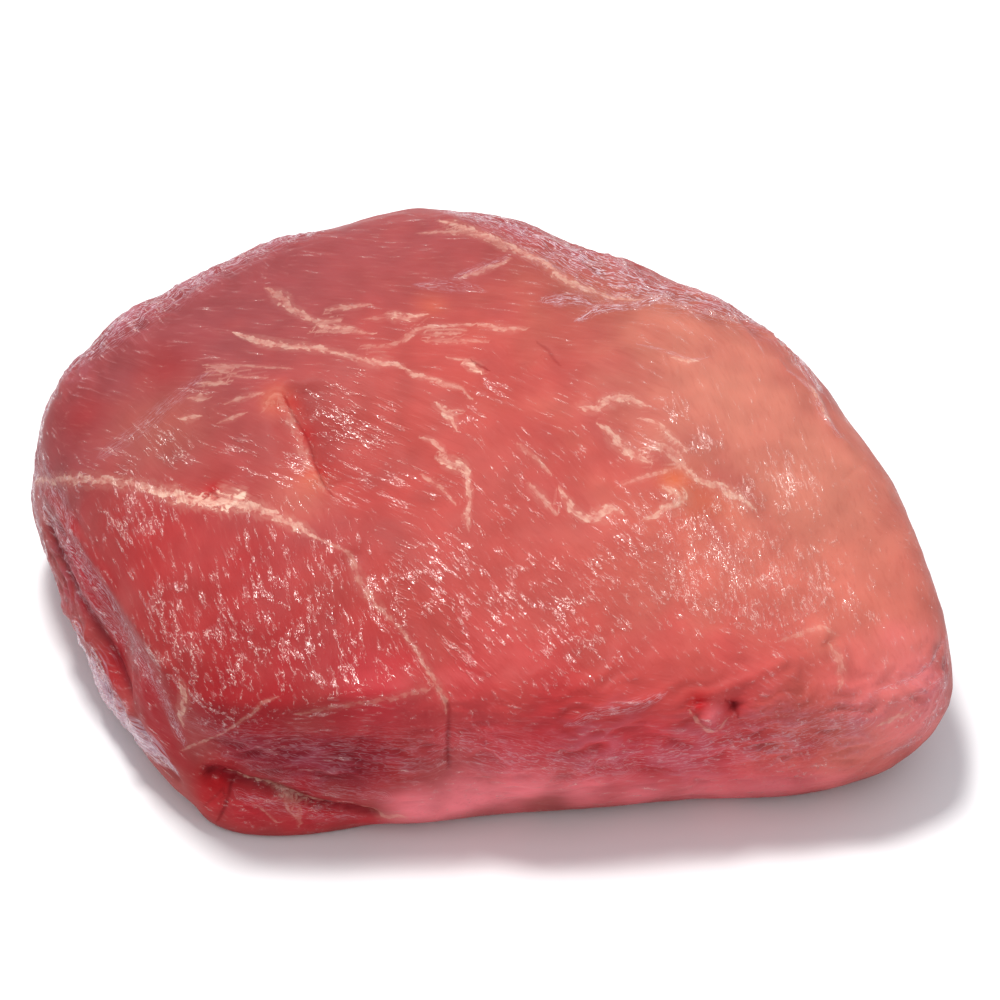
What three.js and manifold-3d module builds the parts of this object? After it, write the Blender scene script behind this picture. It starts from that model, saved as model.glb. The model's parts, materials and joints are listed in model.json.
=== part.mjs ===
// A raw pork topside: one trimmed piece of leg muscle lying on its flat cut side.
// Millimetres, +Z up, +X to the right and +Y to the back of the piece. The origin is at the centre
// of its box, on the surface it lies on.
//
// The body is a sphere's grid of vertices moved onto the meat's own form. Each meridian becomes an
// upright profile, from the top of the crown, over the rim, down the flank to the belly, round the
// foot and in along the flat underside. The plan outline and what is listed by bearing say how far
// out and how high those turning points lie. A loose flap is joined on under the front left corner,
// and a small pocket is cut into the front face.

import * as THREE from "three";
import { mergeVertices } from "three/addons/utils/BufferGeometryUtils.js";
import Module from "manifold-3d";

// ---- Driving sizes ----------------------------------------------------------------------------

// The widest outline seen from above, as a closed curve through its turning points.
const PLAN_POINTS = [
  [117, -50], // right end
  [114, -66],
  [95, -79], // front right corner
  [50, -85],
  [0, -89], // middle of the front
  [-48, -91],
  [-75, -89], // front left corner
  [-91, -73],
  [-102, -52],
  [-121, -17],
  [-130, 6], // left end
  [-125, 29],
  [-106, 51],
  [-78, 76],
  [-45, 97],
  [-10, 100], // middle of the back
  [26, 88],
  [59, 70],
  [86, 42],
  [102, 9],
  [112, -20],
];

// What changes round the piece is given at eight bearings, from the right end by way of the back.
const RIM_INSET = [9, 15, 15, 14, 11, 10, 3, 4]; // how far the rim lies inside the widest outline
const RIM_ROUND = [22, 34, 34, 30, 20, 9, 8, 12]; // length of the profile that the rim rounds off
const RIM_DROP = [4, 8, 6, 4, 4, 0, 0, 0]; // how far the crown has fallen at the rim
const BELLY_HEIGHT = [26, 30, 30, 28, 24, 22, 26, 25]; // height of the widest point
const FOOT_INSET = [12, 14, 14, 12, 10, 7, 6, 8]; // how far the foot lies inside the widest outline
const FOOT_ROUND = [14, 18, 18, 16, 12, 8, 9, 12]; // length that the foot rounds off

// The top is a broad crown that falls away from its highest line to the front and to the ends.
const CROWN_HEIGHT = 84;
const CROWN_Y = 42; // the highest line's distance behind the centre
const CROWN_X = -14; // its highest place along the length
const FRONT_FALL = 34; // fall from the highest line to the front rim
const FRONT_REACH = 130; // over this distance
const BACK_FALL = 8;
const BACK_REACH = 50;
const END_FALL = 13; // fall from the middle to either end
const END_REACH = 120;

// Muscles that swell the surface and hollows between them: place, reach and height.
const SWELLS = [
  { at: [-66, -60, 62], reach: 24, height: 1.8 }, // front left muscle
  { at: [48, -38, 67], reach: 36, height: 1.6 }, // front right muscle
  { at: [68, 4, 73], reach: 34, height: 2.2 }, // right end muscle
  { at: [-56, -4, 76], reach: 12, height: 1.4 }, // ridge along the fold
  { at: [-28, -22, 72], reach: 16, height: -3.0 }, // hollow beside the fold
  { at: [24, 34, 84], reach: 18, height: -1.6 }, // valley at the back
  { at: [-70, -90, 30], reach: 12, height: -4.5 }, // hollow above the flap, at the corner
  { at: [-46, -94, 25], reach: 14, height: -5.5 }, // and along the front
  { at: [36, -84, 12], reach: 26, height: -2.0 }, // hollow under the front face
];

// Seams where two muscles meet: the line each follows, its width, and its depth at both ends.
const SEAMS = [
  {
    // between the front left muscle and the rest, over the front edge and down the front face
    path: [
      [-63, -33, 67],
      [-42, -46, 67],
      [-29, -58, 62],
      [-18, -69, 57],
      [-10, -80, 51],
      [-6, -87, 42],
      [-7, -88, 28],
      [-8, -88, 14],
    ],
    width: 7,
    depth: [0.6, 2.8],
  },
  {
    // the fold in the middle of the top
    path: [
      [-50, 2, 77],
      [-49, -10, 75],
      [-42, -21, 73],
      [-36, -36, 70],
    ],
    width: 6,
    depth: [1.6, 1.2],
  },
  {
    // furrow towards the right end
    path: [
      [69, -34, 66],
      [81, -41, 62],
      [90, -51, 56],
    ],
    width: 6,
    depth: [1.2, 1.2],
  },
  {
    // fold round the front right corner
    path: [
      [98, -78, 43],
      [108, -72, 43],
      [115, -62, 44],
    ],
    width: 4,
    depth: [1.4, 1.6],
  },
];

// The loose flap under the front left corner: an egg, thick to the left and thin to the right.
const FLAP = { at: [-46, -76, 7], half: [33, 15.5, 19], taper: 0.4 };

// The small pocket in the front face.
const POCKET = { at: [54, -86, 44], half: [7, 5, 2.4] };

// Uneven surface: a sum of slow waves, each with its own direction and phase.
const WAVE_COUNT = 9;
const WAVE_LENGTHS = [22, 50];
const WAVE_HEIGHT = 0.3;
const WAVE_SEED = 7;

// Grid
const COLUMNS = 124;
const TOP_ROWS = 19;
const RIM_ROWS = 6;
const FLANK_ROWS = 7;
const FOOT_ROWS = 4;
const BASE_ROWS = 3;
const SEAM_STEPS = 60; // points along each seam
const SMALL_FORM_SIDES = 32; // round the flap and the pocket

// ---- Helpers ----------------------------------------------------------------------------------

const lerp = THREE.MathUtils.lerp;

// Smooth value at any bearing (radians) from a list spaced evenly round the full turn.
function around(values, bearing) {
  const turn = THREE.MathUtils.euclideanModulo(bearing / (2 * Math.PI), 1) * values.length;
  const i = Math.floor(turn);
  const t = turn - i;
  const at = (k) => values[THREE.MathUtils.euclideanModulo(i + k, values.length)];
  const [a, b, c, d] = [at(-1), at(0), at(1), at(2)];
  return b + 0.5 * t * (c - a + t * (2 * a - 5 * b + 4 * c - d + t * (3 * (b - c) + d - a)));
}

// Repeatable random numbers from 0 to 1.
function seeded(seed) {
  let state = seed;
  return () => {
    state = (state * 16807) % 2147483647;
    return state / 2147483647;
  };
}

// A closed solid from a geometry, and back.
function toSolid(wasm, geometry) {
  const bare = geometry.clone();
  bare.deleteAttribute("normal");
  bare.deleteAttribute("uv");
  const merged = mergeVertices(bare, 1e-3);
  return new wasm.Manifold(
    new wasm.Mesh({
      numProp: 3,
      vertProperties: merged.attributes.position.array,
      triVerts: new Uint32Array(merged.index.array),
    }),
  );
}

function toGeometry(solid) {
  const mesh = solid.getMesh();
  const geometry = new THREE.BufferGeometry();
  geometry.setAttribute("position", new THREE.BufferAttribute(mesh.vertProperties, 3));
  geometry.setIndex(new THREE.BufferAttribute(mesh.triVerts, 1));
  geometry.computeVertexNormals();
  return geometry;
}

// ---- The body's form --------------------------------------------------------------------------

const plan = new THREE.CatmullRomCurve3(
  PLAN_POINTS.map(([x, y]) => new THREE.Vector3(x, y, 0)),
  true,
  "centripetal",
);

function crown(x, y) {
  const behind = y - CROWN_Y;
  const fall =
    behind > 0
      ? BACK_FALL * (behind / BACK_REACH) ** 2
      : FRONT_FALL * (-behind / FRONT_REACH) ** 1.45;
  return CROWN_HEIGHT - fall - END_FALL * ((x - CROWN_X) / END_REACH) ** 2;
}

// The profile's turning points at one place of the plan outline, as [distance out, height].
function turningPoints(reach, bearing) {
  const rim = reach - around(RIM_INSET, bearing);
  const rimHeight =
    crown(rim * Math.cos(bearing), rim * Math.sin(bearing)) - around(RIM_DROP, bearing);
  return {
    rim: [rim, rimHeight],
    belly: [reach, around(BELLY_HEIGHT, bearing)],
    foot: [reach - around(FOOT_INSET, bearing), 0],
  };
}

// A point on the way from a to b, and one on the curve that rounds a corner off.
const between = (a, b, t) => [lerp(a[0], b[0], t), lerp(a[1], b[1], t)];
const towards = (a, b, length) =>
  between(a, b, Math.min(0.48, length / Math.hypot(b[0] - a[0], b[1] - a[1])));
const rounded = (a, corner, b, t) =>
  between(between(a, corner, t), between(corner, b, t), t);

// The whole profile at one bearing, from the top of the crown to the middle of the base.
function profile(reach, bearing) {
  const { rim, belly, foot } = turningPoints(reach, bearing);
  const rimRound = around(RIM_ROUND, bearing);
  const footRound = around(FOOT_ROUND, bearing);
  const drop = around(RIM_DROP, bearing);
  const onTop = (out) => [
    out,
    crown(out * Math.cos(bearing), out * Math.sin(bearing)) - drop * (out / rim[0]) ** 4,
  ];
  const points = [];
  const rimStart = onTop(rim[0] - rimRound * 0.75);
  for (let i = 0; i < TOP_ROWS; i++) points.push(onTop((rimStart[0] * i) / TOP_ROWS));
  const rimEnd = towards(rim, belly, rimRound * 0.75);
  for (let i = 0; i < RIM_ROWS; i++) points.push(rounded(rimStart, rim, rimEnd, i / RIM_ROWS));
  const footStart = towards(foot, belly, footRound);
  for (let i = 0; i < FLANK_ROWS; i++)
    points.push(rounded(rimEnd, belly, footStart, i / FLANK_ROWS));
  const footEnd = [foot[0] - footRound, 0];
  for (let i = 0; i < FOOT_ROWS; i++)
    points.push(rounded(footStart, foot, footEnd, i / FOOT_ROWS));
  for (let i = 0; i <= BASE_ROWS; i++) points.push(between(footEnd, [0, 0], i / BASE_ROWS));
  return points;
}

// ---- Relief -----------------------------------------------------------------------------------

const random = seeded(WAVE_SEED);
const waves = Array.from({ length: WAVE_COUNT }, () => {
  const direction = new THREE.Vector3(random() - 0.5, random() - 0.5, random() - 0.5).normalize();
  const length = lerp(...WAVE_LENGTHS, random());
  return { direction, length, phase: 2 * Math.PI * random() };
});

const seams = SEAMS.map(({ path, width, depth }) => {
  const curve = new THREE.CatmullRomCurve3(path.map((p) => new THREE.Vector3(...p)));
  return { points: curve.getSpacedPoints(SEAM_STEPS), width, depth };
});

// How deep a seam is at a point: it fades across its width and towards both of its ends.
function seamDepth({ points, width, depth }, point) {
  const distances = points.map((p) => p.distanceTo(point));
  const nearest = Math.min(...distances);
  const along = distances.indexOf(nearest) / SEAM_STEPS;
  const fade = Math.sqrt(Math.sin(Math.PI * along));
  return lerp(...depth, along) * fade * Math.exp(-((nearest / width) ** 2));
}

// How far the surface stands out of the plain form at a point.
function relief(point) {
  let out = 0;
  for (const { at, reach, height } of SWELLS) {
    const far = point.distanceTo(new THREE.Vector3(...at)) / reach;
    out += height * Math.exp(-far * far);
  }
  for (const seam of seams) out -= seamDepth(seam, point);
  for (const { direction, length, phase } of waves)
    out += WAVE_HEIGHT * Math.sin((2 * Math.PI * point.dot(direction)) / length + phase);
  return out;
}

function bodyGeometry() {
  const rows = TOP_ROWS + RIM_ROWS + FLANK_ROWS + FOOT_ROWS + BASE_ROWS;
  const geometry = new THREE.SphereGeometry(1, COLUMNS, rows);
  const position = geometry.attributes.position;
  for (let column = 0; column <= COLUMNS; column++) {
    // A sphere's columns run the other way round once its pole points up.
    const edge = plan.getPointAt(((COLUMNS - column) % COLUMNS) / COLUMNS);
    const points = profile(Math.hypot(edge.x, edge.y), Math.atan2(edge.y, edge.x));
    const way = new THREE.Vector2(edge.x, edge.y).normalize();
    points.forEach(([out, height], row) => {
      position.setXYZ(row * (COLUMNS + 1) + column, way.x * out, way.y * out, height);
    });
  }
  return addRelief(geometry);
}

// Moves each vertex along its normal by the relief, and keeps the base flat.
function addRelief(geometry) {
  const bare = geometry.clone();
  bare.deleteAttribute("normal");
  bare.deleteAttribute("uv");
  const merged = mergeVertices(bare, 1e-3);
  merged.computeVertexNormals();
  const position = merged.attributes.position;
  const normal = merged.attributes.normal;
  const point = new THREE.Vector3();
  const way = new THREE.Vector3();
  for (let i = 0; i < position.count; i++) {
    point.fromBufferAttribute(position, i);
    way.fromBufferAttribute(normal, i);
    const lift = relief(point) * THREE.MathUtils.smoothstep(point.z, 0, 6);
    point.addScaledVector(way, lift);
    position.setXYZ(i, point.x, point.y, Math.max(0, point.z));
  }
  merged.deleteAttribute("normal");
  return merged;
}

// ---- The flap and the pocket ------------------------------------------------------------------

// A ball stretched to half sizes, its far end narrowed to a share of the near end.
function egg({ at, half, taper = 1 }) {
  const geometry = new THREE.SphereGeometry(1, SMALL_FORM_SIDES, SMALL_FORM_SIDES / 2);
  const position = geometry.attributes.position;
  for (let i = 0; i < position.count; i++) {
    const narrow = lerp(1, taper, (position.getX(i) + 1) / 2);
    position.setXYZ(
      i,
      position.getX(i) * half[0],
      position.getY(i) * half[1] * narrow,
      position.getZ(i) * half[2] * narrow,
    );
  }
  return geometry.translate(...at);
}

// ---- Build ------------------------------------------------------------------------------------

const wasm = await Module();
wasm.setup();

const meat = new THREE.MeshStandardMaterial({
  color: new THREE.Color(0.72, 0.22, 0.19),
  roughness: 0.32,
  metalness: 0,
});

const piece = toSolid(wasm, bodyGeometry())
  .add(toSolid(wasm, egg(FLAP)))
  .subtract(toSolid(wasm, egg(POCKET)))
  .trimByPlane([0, 0, 1], 0);

const geometry = toGeometry(piece);
geometry.computeBoundingBox();
const centre = geometry.boundingBox.getCenter(new THREE.Vector3());
geometry.translate(-centre.x, -centre.y, -geometry.boundingBox.min.z);

const topside = new THREE.Mesh(geometry, meat);
topside.name = "topside";

const group = new THREE.Group();
group.add(topside);

export default group;
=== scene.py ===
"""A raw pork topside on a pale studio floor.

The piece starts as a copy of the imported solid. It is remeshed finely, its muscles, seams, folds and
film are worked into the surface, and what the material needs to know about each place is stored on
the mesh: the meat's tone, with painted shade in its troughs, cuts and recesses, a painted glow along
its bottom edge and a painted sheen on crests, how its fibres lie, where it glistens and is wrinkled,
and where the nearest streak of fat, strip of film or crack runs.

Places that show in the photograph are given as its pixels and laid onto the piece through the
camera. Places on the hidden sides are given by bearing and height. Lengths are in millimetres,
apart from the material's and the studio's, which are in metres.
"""

import json
import math

import bpy
import numpy as np
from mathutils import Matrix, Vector
from mathutils.bvhtree import BVHTree

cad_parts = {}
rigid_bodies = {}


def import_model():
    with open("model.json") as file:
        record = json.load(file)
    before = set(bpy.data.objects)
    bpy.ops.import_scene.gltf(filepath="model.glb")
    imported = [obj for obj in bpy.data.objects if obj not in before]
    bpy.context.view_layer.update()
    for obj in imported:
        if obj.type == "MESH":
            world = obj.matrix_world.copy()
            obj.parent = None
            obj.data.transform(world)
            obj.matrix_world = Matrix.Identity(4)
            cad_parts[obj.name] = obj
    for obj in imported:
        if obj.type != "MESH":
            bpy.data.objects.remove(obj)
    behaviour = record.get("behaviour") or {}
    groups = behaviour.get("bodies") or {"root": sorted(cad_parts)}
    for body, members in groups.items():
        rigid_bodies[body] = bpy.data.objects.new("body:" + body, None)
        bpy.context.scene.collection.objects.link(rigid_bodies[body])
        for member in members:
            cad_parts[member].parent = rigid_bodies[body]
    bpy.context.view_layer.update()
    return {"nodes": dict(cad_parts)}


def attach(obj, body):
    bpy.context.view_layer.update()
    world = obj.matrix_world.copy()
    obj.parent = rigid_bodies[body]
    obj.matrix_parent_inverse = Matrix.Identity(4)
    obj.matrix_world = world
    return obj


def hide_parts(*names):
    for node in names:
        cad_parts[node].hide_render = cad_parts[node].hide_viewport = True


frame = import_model()

MM = 0.001

# ---- Camera ---------------------------------------------------------------------------------

PHOTO_SIZE = 1000
CAMERA_TARGET = Vector((5.6, 0.6, 31.5))
CAMERA_ELEVATION = math.radians(44)
CAMERA_DISTANCE = 750
CAMERA_LENS = 100
SENSOR_WIDTH = 36
PIXELS_PER_MM = PHOTO_SIZE * CAMERA_LENS / SENSOR_WIDTH / CAMERA_DISTANCE

TO_CAMERA = Vector((0, -math.cos(CAMERA_ELEVATION), math.sin(CAMERA_ELEVATION)))
CAMERA_PLACE = CAMERA_TARGET + TO_CAMERA * CAMERA_DISTANCE
CAMERA_UP = Vector((0, math.sin(CAMERA_ELEVATION), math.cos(CAMERA_ELEVATION)))


def place_camera():
    data = bpy.data.cameras.new("camera")
    data.lens = CAMERA_LENS
    data.sensor_width = SENSOR_WIDTH
    camera = bpy.data.objects.new("camera", data)
    camera.location = CAMERA_PLACE * MM
    camera.rotation_euler = (math.pi / 2 - CAMERA_ELEVATION, 0, 0)
    bpy.context.scene.collection.objects.link(camera)
    bpy.context.scene.camera = camera


def photo_ray(x, y):
    """The direction in which the camera sees a pixel of the photograph."""
    focal = PHOTO_SIZE * CAMERA_LENS / SENSOR_WIDTH
    across = Vector((1, 0, 0)) * (x - PHOTO_SIZE / 2) / focal
    down = CAMERA_UP * (y - PHOTO_SIZE / 2) / focal
    return (across - down - TO_CAMERA).normalized()


# ---- The piece's fine mesh --------------------------------------------------------------------

VOXEL = 1.08
SMOOTH_STEPS = 10
SMOOTH_FACTOR = 0.5
WELD = 0.01  # corners of the solid closer than this are one

# The flat underside's faces: all lie below a height and look down, as their normal's z says.
BASE_LIMIT = 0.15
BASE_NORMAL = -0.95
BASE_MERGES = 4


def fine_copy(node_name, name):
    """A closed copy of a CAD solid with small even faces and its facets smoothed away."""
    bpy.ops.object.select_all(action="DESELECT")
    piece = bpy.data.objects.new(name, frame["nodes"][node_name].data.copy())
    bpy.context.scene.collection.objects.link(piece)
    piece.select_set(True)
    bpy.context.view_layer.objects.active = piece
    piece.data.materials.clear()
    bpy.ops.object.mode_set(mode="EDIT")
    bpy.ops.mesh.select_all(action="SELECT")
    bpy.ops.mesh.remove_doubles(threshold=WELD * MM)
    bpy.ops.object.mode_set(mode="OBJECT")
    remesh = piece.modifiers.new("even faces", "REMESH")
    remesh.mode = "VOXEL"
    remesh.voxel_size = VOXEL * MM
    bpy.ops.object.modifier_apply(modifier=remesh.name)
    smooth = piece.modifiers.new("no facets", "SMOOTH")
    smooth.factor = SMOOTH_FACTOR
    smooth.iterations = SMOOTH_STEPS
    bpy.ops.object.modifier_apply(modifier=smooth.name)
    return piece


def read_points(mesh):
    points = np.empty(len(mesh.vertices) * 3)
    mesh.vertices.foreach_get("co", points)
    return points.reshape(-1, 3) / MM


def read_normals(mesh):
    normals = np.empty(len(mesh.vertices) * 3)
    mesh.vertex_normals.foreach_get("vector", normals)
    return normals.reshape(-1, 3)


def write_points(mesh, points):
    mesh.vertices.foreach_set("co", (points * MM).ravel())
    mesh.update()


# ---- Laying lines onto the piece --------------------------------------------------------------

LINE_STEP = 1.2  # spacing of the points along a line laid on the surface
PHOTO_MIDDLE = (490, 520)  # a pixel well inside the piece
OUTSIDE = 300  # a distance from the middle at which one is well outside the piece
INWARDS = 0.005  # share of the way to the middle that a pixel off the piece moves at a time


def spaced(points, step):
    """Points every `step` along a smooth curve through rows of numbers; the first two are its place."""
    points = np.asarray(points, float)
    ends = np.vstack([2 * points[0] - points[1], points, 2 * points[-1] - points[-2]])
    rows = []
    for i in range(1, len(ends) - 2):
        a, b, c, d = ends[i - 1 : i + 3]
        count = max(1, round(np.linalg.norm((c - b)[:2]) / step))
        for t in np.arange(count) / count:
            rows.append(
                b + 0.5 * t * (c - a + t * (2 * a - 5 * b + 4 * c - d + t * (3 * (b - c) + d - a)))
            )
    rows.append(points[-1])
    return np.array(rows)


class Surface:
    """The smooth piece, for finding places on it."""

    def __init__(self, piece):
        mesh = piece.data
        self.points = read_points(mesh)
        self.normals = read_normals(mesh)
        faces = [list(p.vertices) for p in mesh.polygons]
        self.tree = BVHTree.FromPolygons([Vector(p) for p in self.points], faces)

    def seen(self, x, y):
        """The place that shows at a pixel of the photograph, or the nearest one inside the outline."""
        place = None
        while place is None:
            place = self.tree.ray_cast(CAMERA_PLACE, photo_ray(x, y))[0]
            x += INWARDS * (PHOTO_MIDDLE[0] - x)
            y += INWARDS * (PHOTO_MIDDLE[1] - y)
        return np.array(place)

    def flank(self, bearing, height):
        """The place on the side at a bearing from the middle, in degrees, and a height."""
        way = Vector((math.cos(math.radians(bearing)), math.sin(math.radians(bearing)), 0))
        start = Vector((0, 0, height)) + way * OUTSIDE
        return np.array(self.tree.ray_cast(start, -way)[0])

    def laid(self, path, hidden=False):
        """A path's places on the piece, and its widths in mm where the path gives any."""
        rows = spaced(path, LINE_STEP * (1 if hidden else PIXELS_PER_MM))
        find = self.flank if hidden else self.seen
        places = np.array([find(row[0], row[1]) for row in rows])
        widths = rows[:, 2] / (1 if hidden else PIXELS_PER_MM) if rows.shape[1] > 2 else None
        return places, widths

    def beside(self, places, reach):
        """For the vertices within reach of a laid line: their indices, the distance to the line, the
        signed distance (left of its travel is positive), how far along it they are, and the row of
        the line that is nearest."""
        low, high = places.min(0) - reach, places.max(0) + reach
        near = np.where(((self.points > low) & (self.points < high)).all(1))[0]
        points, normals = self.points[near], self.normals[near]
        best = np.full(len(near), np.inf)
        side, along, row = np.zeros(len(near)), np.zeros(len(near)), np.zeros(len(near))
        done = 0.0
        for i in range(len(places) - 1):
            start, way = places[i], places[i + 1] - places[i]
            length = np.linalg.norm(way)
            if length < 1e-6:
                continue
            t = np.clip((points - start) @ way / length**2, 0, 1)
            off = points - start - t[:, None] * way
            far = np.linalg.norm(off, axis=1)
            closer = far < best
            left = np.cross(normals, way / length)
            sign = np.sign((off * left).sum(1))
            best[closer] = far[closer]
            side[closer] = (sign * far)[closer]
            along[closer] = (done + t * length)[closer]
            row[closer] = (i + t)[closer]
            done += length
        keep = best < reach
        return near[keep], best[keep], side[keep], along[keep], row[keep]


# ---- Noise ------------------------------------------------------------------------------------


NOISE_SLOPES = 256  # how many slopes it draws before they repeat
NOISE_SHIFT = 100.5  # keeps the piece's middle away from the corners of the noise's cells
NOISE_GAIN = 1.7


def noise(points, size, seed):
    """Smooth lumps of a size, from about -1 to 1. A size of three numbers stretches them."""
    rng = np.random.default_rng(seed)
    slopes = rng.normal(size=(NOISE_SLOPES, 3))
    slopes /= np.linalg.norm(slopes, axis=1, keepdims=True)
    order = np.tile(rng.permutation(NOISE_SLOPES), 2)
    scaled = points / np.asarray(size) + NOISE_SHIFT
    cell = np.floor(scaled).astype(int)
    inside = scaled - cell
    fade = inside**3 * (inside * (inside * 6 - 15) + 10)
    total = np.zeros(len(points))
    for corner in np.ndindex(2, 2, 2):
        x, y, z = ((cell + corner) % NOISE_SLOPES).T
        turn = order[(order[x] + y) % NOISE_SLOPES] + z
        slope = slopes[order[turn % NOISE_SLOPES]]
        share = np.prod(np.where(corner, fade, 1 - fade), axis=1)
        total += share * ((inside - corner) * slope).sum(1)
    return total * NOISE_GAIN


def fade_in(values, low, high):
    t = np.clip((values - low) / (high - low), 0, 1)
    return t * t * (3 - 2 * t)


def along_fibres(points, lie):
    """Coordinates of points whose first number runs along the fibres. Each point has its own lie."""
    turns = CROWN_TURN + TURN_STEP * lie
    c, s = np.cos(turns), np.sin(turns)
    x, y, z = points.T
    return np.stack([c * x + s * y, c * y - s * x, z], axis=1)


# ---- What is worked into the surface ------------------------------------------------------------

# Lumps all over the piece: size of the lumps and height, with a seed each.
LUMPS = [(30, 0.8, 11), (12, 0.28, 12), (5, 0.10, 13)]

# How the fibres lie: turns about the upright, evenly spaced from the crown's to the lobe's.
CROWN, HOLLOW, MIDDLE, LOBE = range(4)
CROWN_TURN = math.radians(-9)
TURN_STEP = math.radians(-21)

LIE_PATCH_SIZE = 26
LIE_BORDER_SIZE = 8
LIE_WANDER = 0.25  # how far noise moves the borders between them, as a share of their reach

# Where each lie holds: photo pixel and reach. Elsewhere the hollow's and the middle's take turns.
LIE_PLACES = [
    (CROWN, 400, 290, 34),
    (CROWN, 250, 340, 24),
    (CROWN, 560, 300, 24),
    (HOLLOW, 370, 440, 24),
    (HOLLOW, 240, 450, 16),
    (MIDDLE, 500, 560, 22),
    (MIDDLE, 600, 500, 20),
    (MIDDLE, 580, 640, 20),
    (LOBE, 260, 610, 34),
    (LOBE, 130, 540, 18),
    (LOBE, 760, 520, 30),
    (LOBE, 760, 400, 24),
    (LOBE, 860, 600, 22),
    (CROWN, 330, 760, 26),
    (CROWN, 600, 760, 30),
    (LOBE, 840, 750, 22),
]

# Cracks and folds too fine for the mesh, drawn as thin lines of painted shade: strength, then (photo x,
# photo y, width in pixels).
CREASES = {
    "seam_low": (0.3, [(444, 697, 3), (449, 709, 3), (448, 735, 3), (448, 762, 2)]),
    "dark_crack": (0.3, [(538, 343, 2), (548, 349, 3), (553, 357, 3), (559, 364, 2)]),
    "triangle_cut": (0.5, [(473, 362, 2), (480, 366, 3), (487, 370, 2)]),
    "flap_top": (0.6, [
        (204, 776, 2), (226, 770, 3), (248, 779, 3), (280, 788, 3), (306, 797, 3), (330, 804, 2),
        (354, 810, 2), (372, 816, 2),
    ]),
    "flap_fold_a": (0.45, [(232, 772, 3), (229, 790, 3), (225, 806, 3), (217, 822, 2)]),
    "flap_fold_b": (0.35, [(222, 790, 2), (212, 799, 3), (204, 806, 2)]),
    "hollow": (0.4, [
        (286, 398, 2), (292, 412, 3), (302, 428, 3), (310, 444, 3), (315, 462, 3), (322, 480, 3),
        (332, 494, 2),
    ]),
    "pocket": (0.2, [(690, 708, 3), (697, 702, 4), (709, 699, 3)]),
    "pocket_side": (0.2, [(692, 708, 2), (697, 716, 3), (705, 724, 3), (716, 727, 2)]),
    "hole": (0.45, [(728, 702, 3), (734, 707, 5), (738, 714, 3)]),
    "front_crack": (0.3, [(362, 741, 2), (358, 752, 3), (350, 760, 2)]),
    "left_foot": (0.6, [(150, 738, 2), (158, 752, 4), (168, 766, 3), (178, 776, 2)]),
    "node_pit": (0.5, [(205, 495, 2), (211, 490, 4), (217, 495, 2)]),
}

# Wrinkled places: photo pixel, reach and strength, then the same by bearing and height.
WRINKLES = [
    (250, 755, 14, 0.7),
    (320, 765, 16, 0.8),
    (400, 765, 16, 0.7),
    (500, 760, 20, 0.7),
    (600, 745, 20, 1.0),
    (690, 750, 20, 1.0),
    (770, 735, 18, 1.0),
    (850, 730, 16, 0.9),
    (920, 690, 12, 0.8),
    (250, 806, 7, 0.5),
    (320, 815, 7, 0.5),
    (110, 700, 14, 0.6),
    (90, 580, 10, 0.4),
    (130, 660, 12, 0.4),
    (600, 262, 16, 0.9),
    (520, 232, 12, 0.8),
    (700, 300, 12, 0.8),
    (770, 340, 10, 0.7),
    (80, 370, 11, 0.7),
    (130, 322, 12, 0.9),
    (200, 280, 12, 0.9),
    (270, 244, 12, 0.8),
]
HIDDEN_WRINKLES = [
    (90, 30, 26, 0.8),
    (60, 24, 22, 0.7),
    (125, 30, 22, 0.8),
    (165, 30, 22, 0.9),
    (195, 34, 18, 0.9),
    (20, 26, 20, 0.8),
    (-10, 26, 16, 0.8),
]
WRINKLE_SIZE = (11, 11, 2.9)
WRINKLE_HEIGHT = 1.9
WRINKLE_BEND = 2.5  # how far the wrinkles' lines wander
WRINKLE_BEND_SIZE = 7
CREST_WIDTH = 0.85  # how far from zero the wrinkles' noise is where a crest ends

# Bundles of fibres: length, width and depth, and how high they stand.
BUNDLE_SIZE = (14, 2.6, 2.6)
BUNDLE_HEIGHT = 0.10

BASE_FADE = (0.3, 6)  # relief fades in between these heights, so the underside stays flat

# Broad hollows and swells: photo pixel, reach across and up the picture, and depth.
DENTS = [
    (330, 752, 34, 5, 2.2),
    (350, 440, 14, 9, 0.8),
    (118, 700, 14, 12, -2.6),
    (92, 640, 10, 10, -1.6),
    (124, 652, 7, 12, 1.6),
]

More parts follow.
